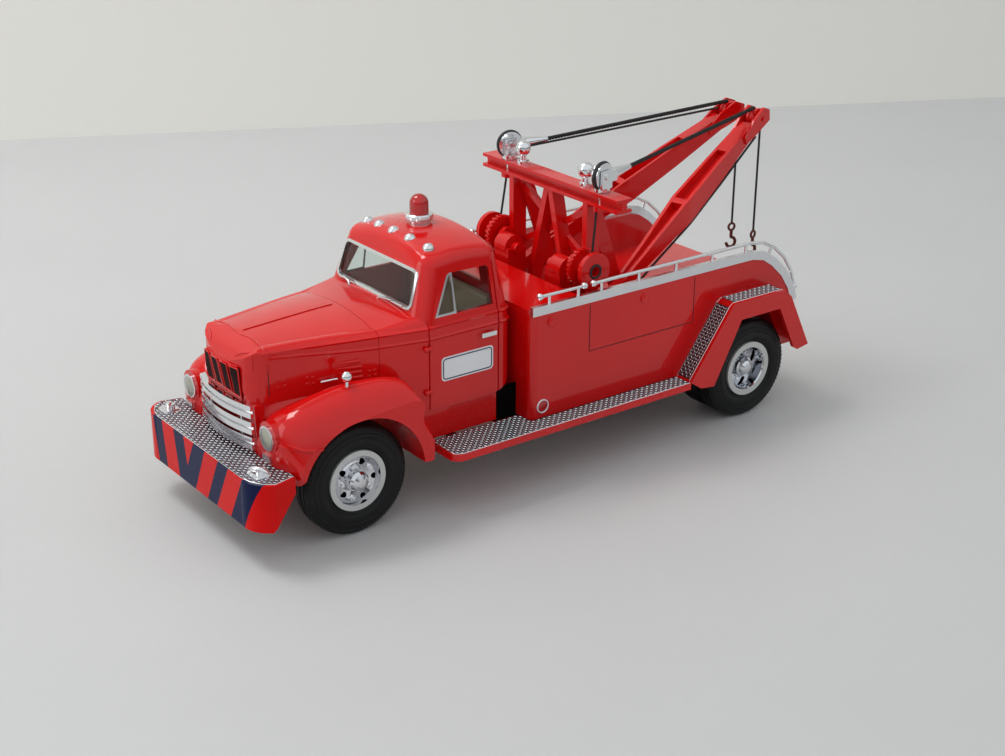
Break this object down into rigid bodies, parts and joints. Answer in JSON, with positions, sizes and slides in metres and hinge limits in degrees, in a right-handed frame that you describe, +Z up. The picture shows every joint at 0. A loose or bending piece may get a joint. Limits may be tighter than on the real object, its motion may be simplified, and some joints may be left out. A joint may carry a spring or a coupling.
{
  "type": "die-cast tow truck model",
  "caption": "Die-cast model of a conventional-cab tow truck: hollow cab with seat and wheel, open tow bed, mast with swinging twin booms, hooks and turning winch drums.",
  "frame": {"origin": "On the ground under the middle of the overall length and width", "axes": "+X towards the front bumper, +Y to the driver side (left), +Z up"},
  "size_m": [0.1947, 0.0708, 0.0867],
  "materials": {
    "red_paint": "gloss",
    "black_paint": "satin",
    "grey_paint": "satin",
    "chrome": "polished",
    "bare_steel": "satin",
    "cast_block": "matt",
    "tyre_black": "matt",
    "window": "clear",
    "lamp_cream": "gloss",
    "lamp_amber": "gloss",
    "lamp_red": "gloss",
    "tan_trim": "matt",
    "black_cable": "matt",
    "hook_brown": "satin"
  },
  "bodies": {
    "truck": {"frame_rails": "black_paint", "cross_members": "black_paint", "leaf_springs": "black_paint", "front_axle_beam": "black_paint", "rear_axle_housing": "black_paint", "engine_block": "cast_block", "drive_shaft": "black_paint", "fuel_tank": "black_paint", "exhaust_pipe": "bare_steel", "cab_shell": "red_paint", "cab_glazing": "window", "window_trims": "chrome", "cab_floor": "tan_trim", "seat": "tan_trim", "dashboard": "red_paint", "steering_wheel": "tan_trim", "door_handles": "chrome", "hood": "red_paint", "front_fenders": "red_paint", "grille_bars": "chrome", "headlight_rims": "chrome", "headlight_lenses": "lamp_cream", "parking_lamps": "lamp_amber", "fender_lamps": "chrome", "bumper": "red_paint", "bumper_hooks": "chrome", "roof_markers": "chrome", "beacon_base": "chrome", "beacon_dome": "lamp_red", "running_boards": "red_paint", "tow_body": "red_paint", "bed_supports": "black_paint", "rear_fenders": "red_paint", "side_trim": "grey_paint", "side_rails": "chrome", "tail_step": "grey_paint", "tail_lamps": "lamp_red", "mast_frame": "red_paint", "mast_beam": "red_paint", "spot_lamps": "chrome", "winch_housings": "red_paint", "boom_pins": "bare_steel"},
    "front_wheels": {"front_axle_shaft": "bare_steel", "front_rims": "grey_paint", "front_tyres": "tyre_black"},
    "rear_wheels": {"rear_axle_shaft": "bare_steel", "rear_rims": "grey_paint", "rear_tyres": "tyre_black"},
    "left_boom": {"boom_left": "red_paint", "boom_head_left": "red_paint", "mast_sheave_left": "chrome", "boom_lines_left": "black_cable", "tow_hook_left": "hook_brown"},
    "right_boom": {"boom_right": "red_paint", "boom_head_right": "red_paint", "mast_sheave_right": "chrome", "boom_lines_right": "black_cable", "tow_hook_right": "hook_brown"},
    "left_drum": {"winch_drum_left": "red_paint"},
    "right_drum": {"winch_drum_right": "red_paint"}
  },
  "joints": [
    {"name": "front_axle_spin", "type": "hinge", "parent": "truck", "child": "front_wheels", "pos_m": [0.0657, 0, 0.0153], "axis": [0, 1, 0], "continuous": true},
    {"name": "rear_axle_spin", "type": "hinge", "parent": "truck", "child": "rear_wheels", "pos_m": [-0.069, 0, 0.0153], "axis": [0, 1, 0], "continuous": true},
    {"name": "left_boom_swing", "type": "hinge", "parent": "truck", "child": "left_boom", "pos_m": [-0.0188, 0.021, 0.0412], "axis": [0, 0, -1], "range_deg": [0, 18]},
    {"name": "right_boom_swing", "type": "hinge", "parent": "truck", "child": "right_boom", "pos_m": [-0.0188, -0.021, 0.0412], "axis": [0, 0, 1], "range_deg": [0, 18]},
    {"name": "left_winch_turn", "type": "hinge", "parent": "truck", "child": "left_drum", "pos_m": [-0.0144, 0.02, 0.055], "axis": [0, 1, 0], "continuous": true},
    {"name": "right_winch_turn", "type": "hinge", "parent": "truck", "child": "right_drum", "pos_m": [-0.0144, -0.02, 0.055], "axis": [0, 1, 0], "continuous": true}
  ]
}
